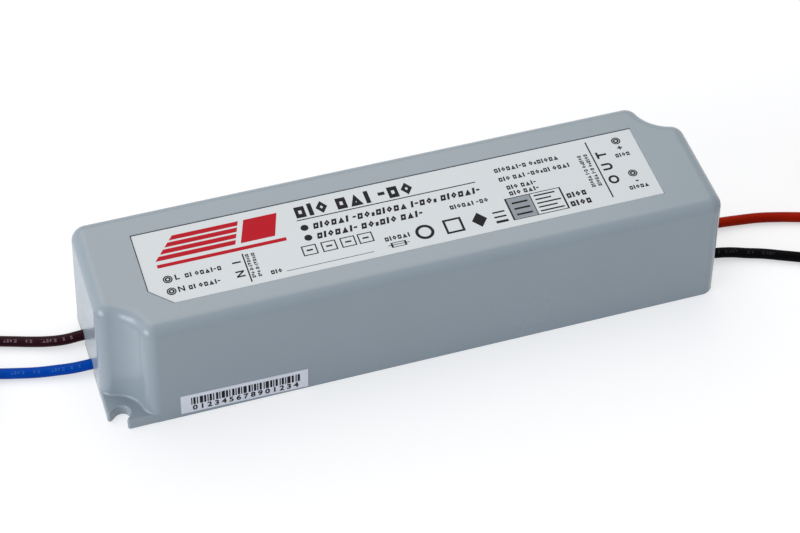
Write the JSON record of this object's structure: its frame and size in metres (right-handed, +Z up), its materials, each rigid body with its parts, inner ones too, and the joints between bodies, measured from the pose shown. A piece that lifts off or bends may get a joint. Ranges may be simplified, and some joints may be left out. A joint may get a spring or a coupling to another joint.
{
  "type": "led driver",
  "caption": "Slim sealed LED driver: drafted grey plastic box with a slotted ear in a scooped corner at opposite corners, a recessed label on top and single leads at both ends.",
  "frame": {"origin": "middle of the housing's base", "axes": "+X along the housing towards the output leads, +Y to the back, +Z up through the label"},
  "size_m": [0.3626, 0.0552, 0.0335],
  "materials": {
    "housing_plastic": "fine moulded texture, slight sheen",
    "resin": "cast, smooth",
    "label_foil": "satin printed foil",
    "sticker_paper": "matt",
    "board_laminate": "solder mask",
    "black_epoxy": "moulded",
    "blue_epoxy": "dipped",
    "yellow_plastic": "moulded or taped",
    "white_plastic": "moulded",
    "red_plastic": "moulded",
    "ferrite": "sintered, matt",
    "copper_wire": "enamelled",
    "capacitor_sleeve": "shrunk sleeve",
    "resistor_ceramic": "lacquered",
    "heatsink_aluminium": "plain",
    "screw_steel": "zinc plated",
    "brown_insulation": "smooth",
    "blue_insulation": "smooth",
    "red_insulation": "smooth",
    "black_insulation": "smooth",
    "tinned_copper": "tinned strands"
  },
  "bodies": {
    "root": {"housing": "housing_plastic", "potting": "resin", "rating_label": "label_foil", "serial_sticker": "sticker_paper", "circuit_board": "board_laminate", "fuse": "black_epoxy", "inrush_limiter": "black_epoxy", "bridge_rectifier": "black_epoxy", "switch_transistor": "black_epoxy", "controller_chip": "black_epoxy", "output_diode": "black_epoxy", "transformer_bobbin": "black_epoxy", "surge_varistor": "blue_epoxy", "safety_capacitor": "blue_epoxy", "mains_capacitor": "yellow_plastic", "transformer_winding": "yellow_plastic", "feedback_coupler": "white_plastic", "snubber_capacitor": "red_plastic", "choke_core": "ferrite", "transformer_core_left": "ferrite", "transformer_core_right": "ferrite", "inductor_core": "ferrite", "choke_winding_line": "copper_wire", "choke_winding_neutral": "copper_wire", "inductor_winding": "copper_wire", "bulk_capacitor": "capacitor_sleeve", "output_capacitor_front": "capacitor_sleeve", "output_capacitor_middle": "capacitor_sleeve", "output_capacitor_back": "capacitor_sleeve", "bleed_resistor": "resistor_ceramic", "switch_heatsink": "heatsink_aluminium", "output_heatsink": "heatsink_aluminium", "heatsink_screws": "screw_steel", "input_lead_line": "brown_insulation", "input_coil_line": "brown_insulation", "input_lead_neutral": "blue_insulation", "input_coil_neutral": "blue_insulation", "output_lead_plus": "red_insulation", "output_coil_plus": "red_insulation", "output_lead_minus": "black_insulation", "output_coil_minus": "black_insulation", "input_end_line": "tinned_copper", "input_end_neutral": "tinned_copper", "output_end_plus": "tinned_copper", "output_end_minus": "tinned_copper"}
  },
  "joints": []
}
